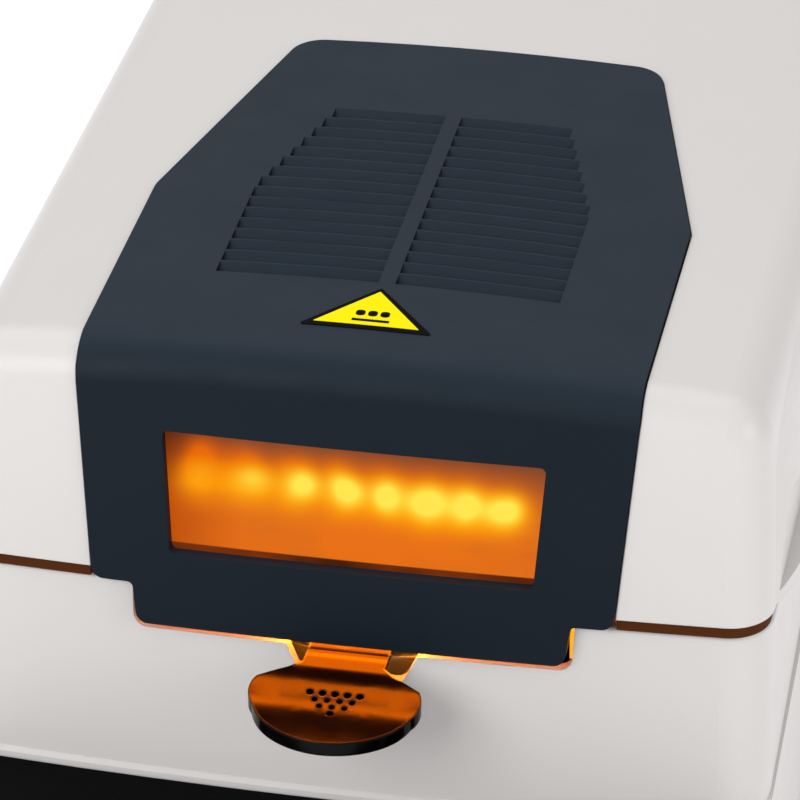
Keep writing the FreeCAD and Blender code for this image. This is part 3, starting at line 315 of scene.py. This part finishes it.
def glowing_pane():
    """Frosted amber pane with painted glow: the coils behind it are painted on it as a row of soft glowing
    spots near its upper edge.
    """
    made = Finish("tinted_glass")
    x, _, z = made.axes()

    def wander(scale, reach):
        return made.math("MULTIPLY", made.math("SUBTRACT", made.noise(scale, 1.0), 0.5), reach)

    across = made.math("ADD", x, wander(60.0, 5.0 * MM))
    upward = made.math("ADD", z, wander(47.0, 5.0 * MM))

    def spot(middle, height, reach, power):
        """Bell of brightness about a point."""
        aside = made.math("DIVIDE", made.math("SUBTRACT", across, middle), reach)
        above = made.math("DIVIDE", made.math("SUBTRACT", upward, height), reach)
        square = made.math("ADD", made.math("MULTIPLY", aside, aside), made.math("MULTIPLY", above, above))
        bell = made.math("POWER", 2.718, made.math("MULTIPLY", square, -1.0))
        return made.math("MULTIPLY", bell, power)

    # Each winding's painted glow has a hot core and a wide halo; the far coil is painted faintly above the
    # first ones.
    core = halo = 0.0
    for index in range(COIL_SPOTS):
        middle = COIL_START + index * COIL_PITCH + COIL_CROWD * math.sin(0.8 * (index - 2))
        height = pane_high.z - COIL_DROP - COIL_SLOPE * index
        hot = min(1.35, 0.3 + 0.45 * index)
        wide = min(1.4, 1.1 + 0.08 * index)
        faint = 0.75 - 0.12 * index
        core = made.math("ADD", core, spot(middle, height, CORE_REACH, hot))
        halo = made.math("ADD", halo, spot(middle, height, HALO_REACH, wide))
        if faint > 0.0:
            far = spot(middle - 1.0 * MM, height + 4.4 * MM, FAR_REACH, faint)
            halo = made.math("ADD", halo, far)
    core = made.math("MINIMUM", core, 1.0)
    halo = made.math("MINIMUM", halo, 1.0)

    # Painted glow of the chamber: brown near the upper edge, painted shade deeper at the left, orange
    # below, and a dark ledge of painted shade along the foot.
    below = made.span(z, pane_high.z - 3.0 * MM, pane_high.z - 20.0 * MM)
    streaks = made.span(made.noise(55.0, 2.0, made.stretched(1.0, 1.0, 2.2)), 0.3, 0.7, 0.85, 1.05)
    veil = made.math("MULTIPLY", below, streaks)
    left = made.mix(below, (0.085, 0.014, 0.001), (0.47, 0.066, 0.001))
    body = made.mix(veil, (0.205, 0.058, 0.022), (0.790, 0.158, 0.007))
    body = made.mix(made.span(x, -47.0 * MM, -26.0 * MM), left, body)
    upper = made.span(z, pane_high.z - 16.0 * MM, pane_high.z - 8.0 * MM)
    warm = made.mix(upper, (1.0, 0.28, 0.0), (0.80, 0.12, 0.0))
    bright = made.mix(core, made.mix(halo, body, warm), (1.0, 0.52, 0.0))
    glow = made.mix(made.math("POWER", core, 2.5), bright, (1.0, 0.79, 0.08))
    # Painted shade: along the foot the glow turns to a mottled dark brown strip.
    ledge = made.span(z, pane_low.z + 3.3 * MM, pane_low.z + 3.0 * MM)
    ledge_shade_mottle = made.span(made.noise(45.0), 0.35, 0.65)
    glow = made.mix(ledge, glow, made.mix(ledge_shade_mottle, (0.20, 0.032, 0.004), (0.05, 0.012, 0.004)))
    made.set(Base_Color=made.mix(veil, (0.004, 0.001, 0.0), (0.008, 0.002, 0.0)))
    made.set(Roughness=made.span(made.noise(90.0, 3.0), 0.3, 0.7, 0.35, 0.45), Specular_IOR_Level=0.03)
    # The pane is no lamp: its emission is painted glow.
    made.set(Emission_Color=glow)
    made.shader.inputs["Emission Strength"].default_value = 1.0
    made.set(Normal=made.bump(made.noise(2500.0, 2.0), 0.00001))
    return made


pane_glow = glowing_pane()


def printed_film(name, colour):
    made = Finish(name)
    fleck = made.noise(1500.0, 2.0)
    made.set(Base_Color=made.mix(fleck, scaled(colour, 0.95), scaled(colour, 1.04)))
    made.set(Roughness=made.span(made.noise(70.0, 3.0), 0.3, 0.7, 0.32, 0.42), Coat_Weight=0.2)
    made.set(Normal=made.bump(fleck, 0.000006))
    return made


film_black = printed_film("film_black", (0.004, 0.004, 0.005))
film_black.set(Specular_IOR_Level=0.015, Coat_Weight=0.0)
film_yellow = printed_film("film_yellow", (1.0, 0.84, 0.0))
film_yellow.set(Specular_IOR_Level=0.03, Coat_Weight=0.0)
legend_white = printed_film("legend_white", (0.62, 0.64, 0.66))
lcd_ink = printed_film("lcd_ink", (0.035, 0.045, 0.045))


def lcd_glass():
    made = Finish("lcd_grey")
    rows = made.span(made.noise(2200.0, 1.0), 0.3, 0.7)
    made.set(Base_Color=made.mix(rows, (0.27, 0.33, 0.29), (0.30, 0.36, 0.32)))
    made.set(Roughness=made.span(rows, 0.0, 1.0, 0.28, 0.36))
    made.set(Normal=made.bump(rows, 0.000005))
    return made


lcd_grey = lcd_glass()

FINISHES = {
    "white_housing": white, "dark_cover": cover_paint, "black_console": console_paint,
    "black_handle": handle_paint, "key_rubber": key_rubber, "foot_rubber": foot_rubber,
    "seal_rubber": seal_rubber, "tinted_glass": pane_glow, "clear_glass": clear_glass,
    "quartz": quartz, "hot_coil": hot_coil, "label_yellow": film_black, "steel": steel,
    "bright_reflector": reflector, "aluminium": aluminium, "pan_foil": foil,
    "ceramic_socket": socket_clay, "grey_tray": grey_tray, "board_green": green_board,
    "part_black": part_black, "zinc_screw": zinc, "brass_pin": brass, "lcd_grey": lcd_grey,
    "level_fluid": level_fluid, "level_air": level_air, "seal_brown": seal_brown,
}
slot_of = {item["node"]: item["material_slot"] for item in frame["record"]["subparts"]}
for name, thing in nodes.items():
    thing.data.materials.clear()
    thing.data.materials.append(FINISHES[slot_of[name]].mat)

# ---------------------------------------------------------------- printed and inlaid details


def sheet_of(name, points, faces):
    data = bpy.data.meshes.new(name)
    data.from_pydata([tuple(point) for point in points], [], faces)
    data.update()
    thing = bpy.data.objects.new(name, data)
    scene.collection.objects.link(thing)
    return thing


def printed(name, outlines, lay, thick, finish, body, slices=()):
    """Thin raised print: closed plates from flat outlines, laid onto a surface by lay(x, y, lift)."""
    made = bmesh.new()
    for outline in outlines:
        made.faces.new([made.verts.new((x, y, 0.0)) for x, y in outline])
    for place in slices:
        bmesh.ops.bisect_plane(
            made, geom=made.verts[:] + made.edges[:] + made.faces[:],
            plane_co=(place, 0, 0), plane_no=(1, 0, 0))
    bmesh.ops.recalc_face_normals(made, faces=made.faces[:])
    raised = bmesh.ops.extrude_face_region(made, geom=made.faces[:])["geom"]
    for vertex in raised:
        if isinstance(vertex, bmesh.types.BMVert):
            vertex.co.z = thick
    for vertex in made.verts:
        vertex.co = lay(vertex.co.x, vertex.co.y, vertex.co.z)
    bmesh.ops.recalc_face_normals(made, faces=made.faces[:])
    data = bpy.data.meshes.new(name)
    made.to_mesh(data)
    made.free()
    thing = bpy.data.objects.new(name, data)
    scene.collection.objects.link(thing)
    data.materials.append(finish.mat)
    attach(thing, body)
    return thing


def bar(x, y, wide, high):
    return [(x - wide / 2, y - high / 2), (x + wide / 2, y - high / 2),
            (x + wide / 2, y + high / 2), (x - wide / 2, y + high / 2)]


def arc(x, y, radius, start, end, steps=20):
    """Points along an arc, in degrees from +X."""
    turns = [math.radians(start + (end - start) * step / steps) for step in range(steps + 1)]
    return [(x + radius * math.cos(turn), y + radius * math.sin(turn)) for turn in turns]


def arc_band(x, y, radius, wide, start, end):
    return (arc(x, y, radius + wide / 2, start, end)
            + arc(x, y, radius - wide / 2, start, end)[::-1])


def soft_corners(points, radius, steps=5):
    """Round every corner of an outline."""
    made = []
    for index, corner in enumerate(points):
        here = Vector((*corner, 0.0))
        back = Vector((*points[index - 1], 0.0)) - here
        ahead = Vector((*points[(index + 1) % len(points)], 0.0)) - here
        cut = radius / math.tan(back.angle(ahead) / 2)
        first = here + back.normalized() * cut
        last = here + ahead.normalized() * cut
        for step in range(steps + 1):
            share = step / steps
            point = first.lerp(here, share).lerp(here.lerp(last, share), share)
            made.append((point.x, point.y))
    return made


# Sticker on the crown: yellow face inside the black rim, and a plain mark of dots over a bar.
sticker_low, sticker_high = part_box("triangle_sticker")
sticker_x = (sticker_low.x + sticker_high.x) / 2
CROWN_TOP = 157.0 * MM
CROWN_RADIUS = 849.0 * MM
PRINT_GAP = 0.01 * MM
FACE_THICK = 0.05 * MM
crown_axis_z = CROWN_TOP - CROWN_RADIUS
film_radius = math.hypot(sticker_x, sticker_high.z - crown_axis_z)


def on_crown(x, y, lift):
    """A lay function for the crowned top of the lid."""
    radius = film_radius + PRINT_GAP + lift
    return Vector((x, y, crown_axis_z + math.sqrt(radius * radius - x * x)))


slices = [sticker_x + step * 1.5 * MM for step in range(-9, 10)]
face = [
    (sticker_low.x + 2.6 * MM, sticker_low.y + 1.7 * MM),
    (sticker_high.x - 2.9 * MM, sticker_low.y + 1.7 * MM),
    (sticker_x + 0.2 * MM, sticker_high.y - 1.5 * MM)]
printed("sticker_face", [soft_corners(face, 0.12 * MM)], on_crown, FACE_THICK, film_yellow,
        "lid", slices)
mark_x = sticker_x + 0.5 * MM
mark_y = sticker_low.y + 3.8 * MM
marks = [soft_corners(bar(mark_x, mark_y, 8.8 * MM, 1.1 * MM), 0.2 * MM)]
for step in (-1, 0, 1):
    dot = bar(mark_x + step * 2.9 * MM, mark_y + 3.3 * MM, 2.2 * MM, 2.6 * MM)
    marks.append(soft_corners(dot, 1.05 * MM))
printed("sticker_mark", marks, lambda x, y, lift: on_crown(x, y, lift + FACE_THICK), 0.04 * MM,
        film_black, "lid")

# Everything on the console lies square to the way its keys are pressed.
press = Vector(next(joint["axis"] for joint in frame["record"]["behaviour"]["joints"]
                    if joint["name"] == "power_key_press")).normalized()
up = -press
right = Vector((1.0, 0.0, 0.0))
deck_back = up.cross(right)


def top_of(node, direction):
    """Middle of a node's uppermost flat face along a direction."""
    corners = [vertex.co for vertex in nodes[node].data.vertices]
    highest = max(corner.dot(direction) for corner in corners)
    top = [corner for corner in corners if corner.dot(direction) > highest - 0.03 * MM]
    low = Vector([min(corner[axis] for corner in top) for axis in range(3)])
    high = Vector([max(corner[axis] for corner in top) for axis in range(3)])
    return (low + high) / 2


def on_plane(origin, across, along, normal):
    """A lay function for a flat face."""
    def lay(x, y, lift):
        return origin + across * x + along * y + normal * (lift + PRINT_GAP)
    return lay


def triangle(x, y, size, turn):
    turns = [math.radians(turn + 90 + 120 * corner) for corner in range(3)]
    return [(x + size * math.cos(angle), y + size * math.sin(angle)) for angle in turns]


# A plain shape for each key, in millimetres from the middle of its face.
LEGENDS = {
    "power_key": [arc_band(0, 0, 2.3, 0.5, 125, 415), bar(0, 1.9, 0.5, 2.4)],
    "print_key": [bar(0, -1.4, 5.0, 0.5), bar(0, 0, 5.0, 0.5), bar(0, 1.4, 5.0, 0.5)],
    "menu_key": [bar(-1.3, 1.3, 1.7, 1.7), bar(1.3, 1.3, 1.7, 1.7),
                 bar(-1.3, -1.3, 1.7, 1.7), bar(1.3, -1.3, 1.7, 1.7)],
    "confirm_key": [[(-2.4, 0.1), (-1.9, 0.7), (-0.7, -0.5), (2.2, 2.3), (2.7, 1.8), (-0.7, -1.6)]],
    "start_key": [triangle(-0.3, 0, 2.5, -90)],
    "tare_key": [arc_band(-1.9, 0, 1.3, 0.5, 0, 359), bar(1.4, 0, 2.6, 0.5)],
    "up_key": [triangle(0, -0.4, 2.0, 0)],
    "down_key": [triangle(0, 0.4, 2.0, 180)],
    "left_key": [triangle(0.4, 0, 2.0, 90)],
    "right_key": [triangle(-0.4, 0, 2.0, -90)],
}


def in_metres(outlines):
    """Outlines given in millimetres, in the frame's unit."""
    return [[(x * MM, y * MM) for x, y in outline] for outline in outlines]


for node, outlines in LEGENDS.items():
    lay = on_plane(top_of(node, up), right, deck_back, up)
    printed(node + "_legend", in_metres(outlines), lay, 0.04 * MM, legend_white, node)

# Display: plain figures, a bar of marks and two frame lines, in millimetres from the middle of
# the panel's face. Each segment of a figure has a place, in half heights, and stands or lies.
SEGMENTS = {
    "top": (0.0, 1.0, 0), "middle": (0.0, 0.0, 0), "bottom": (0.0, -1.0, 0),
    "upper_left": (-0.5, 0.5, 1), "upper_right": (0.5, 0.5, 1),
    "lower_left": (-0.5, -0.5, 1), "lower_right": (0.5, -0.5, 1),
}
FIGURES = {
    "0": ("top", "bottom", "upper_left", "upper_right", "lower_left", "lower_right"),
    "1": ("upper_right", "lower_right"),
    "5": ("top", "middle", "bottom", "upper_left", "lower_right"),
}


def figure(text, x, y, high):
    """Seven-segment figure; high is its full height."""
    half = high / 2
    wide = 0.16 * half
    made = []
    for name in FIGURES[text]:
        across, rise, standing = SEGMENTS[name]
        middle_x, middle_y = x + across * half, y + rise * half
        length = 0.82 * half
        size = (wide, length) if standing else (length, wide)
        made.append(bar(middle_x, middle_y, *size))
    return made


READING, READING_HIGH, READING_STEP = "0.000", 16.0, 13.0
COUNTER, COUNTER_HIGH, COUNTER_STEP = "105", 7.0, 6.0
MARKS, MARKS_LIT, MARK_STEP = 24, 16, 2.2
ink = []
place = -34.0
for text in READING:
    if text == ".":
        ink.append(bar(place - 3.2, -4.6, 1.6, 1.6))
        continue
    ink += figure(text, place, 3.5, READING_HIGH)
    place += READING_STEP
for index, text in enumerate(COUNTER):
    ink += figure(text, 26.0 + COUNTER_STEP * index, 8.5, COUNTER_HIGH)
for index in range(MARKS):
    ink.append(bar(-40.0 + MARK_STEP * index, -14.5, 1.3, 3.0 if index < MARKS_LIT else 1.0))
for side in (1, -1):
    ink.append(bar(0.0, side * 18.2, 84.0, 0.4))
display_face = on_plane(top_of("display_module", up), right, deck_back, up)
printed("display_ink", in_metres(ink), display_face, 0.05 * MM, lcd_ink, "base")

# ---------------------------------------------------------------- stage, light, camera

floor = sheet_of("floor", [(-6, -6, 0), (6, -6, 0), (6, 6, 0), (-6, 6, 0)], [(0, 1, 2, 3)])
floor_paint = Finish("studio_floor")
floor_paint.set(Base_Color=(0.93, 0.93, 0.93), Roughness=0.8, Specular_IOR_Level=0.1)
floor_paint.set(Emission_Color=(1.0, 1.0, 1.0), Emission_Strength=0.25)
floor.data.materials.append(floor_paint.mat)

world = bpy.data.worlds.new("studio")
world.use_nodes = True
world.node_tree.nodes["Background"].inputs["Color"].default_value = (1.0, 1.0, 1.0, 1.0)
world.node_tree.nodes["Background"].inputs["Strength"].default_value = 0.55
scene.world = world


def softbox(name, place, target, size, power, colour=(1.0, 1.0, 1.0)):
    lamp = bpy.data.lights.new(name, "AREA")
    lamp.shape = "RECTANGLE"
    lamp.size, lamp.size_y = size
    lamp.energy = power
    lamp.color = colour
    thing = bpy.data.objects.new(name, lamp)
    scene.collection.objects.link(thing)
    thing.location = place
    thing.rotation_euler = (Vector(target) - Vector(place)).to_track_quat("-Z", "Y").to_euler()
    return thing


middle = (cad_low + cad_high) / 2
softbox("top_box", (-0.3, 0.5, 1.5), middle, (1.4, 1.2), 8.2)
softbox("front_box", (-0.7, -1.3, 0.9), middle, (1.0, 0.8), 11.2)
softbox("right_box", (1.4, -0.5, 0.7), middle, (0.8, 0.8), 5.0)


def heater_light(name, place, direction, size, power, colour, receivers=None):
    """Orange light from the heater, seen only on what it falls on. It goes up with the lid."""
    place = Vector(place)
    thing = softbox(name, place, place + Vector(direction), size, power, colour)
    thing.visible_camera = False
    thing.parent = bodies["lid"]
    thing.light_linking.receiver_collection = receivers
    return thing


neck_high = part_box("pan_lifter")[1].z
tab_front = pane_low.y - 5.1 * MM
gap_side = 52.6 * MM
DEEP_ORANGE = (1.0, 0.155, 0.001)
AMBER = (1.0, 0.33, 0.01)

# The lamps in front of and behind the tab are what the black handle and its neck mirror.
handle_only = bpy.data.collections.new("handle_only")
handle_only.objects.link(nodes["pan_lifter"])
heater_light("handle_glow", (0.0, tab_front + 2.0 * MM, neck_high + 31.0 * MM), (0.0, -1.0, -0.2),
             (110 * MM, 11 * MM), 0.20, DEEP_ORANGE, handle_only)
heater_light("neck_glow", (0.0, tab_front - 0.8 * MM, neck_high + 2.6 * MM), (0.0, -1.0, 0.0),
             (26 * MM, 5.0 * MM), 0.0115, DEEP_ORANGE, handle_only)
heater_light("neck_edge_glow", (0.0, tab_front + 0.4 * MM, neck_high + 1.0 * MM), (0.0, -1.0, 0.0),
             (26 * MM, 1.9 * MM), 0.0044, DEEP_ORANGE, handle_only)
heater_light("neck_root_glow", (0.0, tab_front + 7.0 * MM, neck_high + 4.0 * MM), (0.0, -1.0, 0.0),
             (26 * MM, 7.4 * MM), 0.020, DEEP_ORANGE, handle_only)

# The lamps inside the chamber light the edge of the notch round the tab and the neck.
heater_light("sill_glow", (0.0, tab_front + 11.0 * MM, neck_high + 5.5 * MM), (0.0, -1.0, -0.8),
             (98 * MM, 4 * MM), 0.0016, DEEP_ORANGE)
heater_light("chamber_glow", (0.0, tab_front + 16.0 * MM, neck_high + 12.0 * MM), (0.0, 0.0, -1.0),
             (110 * MM, 14 * MM), 0.009, DEEP_ORANGE)
for name, side in (("notch_glow_left", -1.0), ("notch_glow_right", 1.0)):
    heater_light(name, (side * 13.5 * MM, tab_front + 9.0 * MM, neck_high + 3.0 * MM),
                 (side * 0.3, -1.0, -0.6), (6 * MM, 5 * MM), 0.005, AMBER)
gap_glow = heater_light("gap_glow", (gap_side, tab_front + 6.0 * MM, neck_high + 6.5 * MM),
                        (0.19, -1.0, 0.3), (2.5 * MM, 9 * MM), 0.0001, AMBER)
gap_glow.visible_camera = True

camera_data = bpy.data.cameras.new("camera")
camera_data.sensor_width = 36.0
camera_data.lens = 229.8
camera_data.shift_x = 0.0069
camera = bpy.data.objects.new("camera", camera_data)
scene.collection.objects.link(camera)
camera.location = (0.20081, -1.04990, 0.73659)
camera.rotation_euler = (math.radians(59.722), 0.0, math.radians(10.975))
scene.camera = camera
scene.view_settings.view_transform = "Standard"
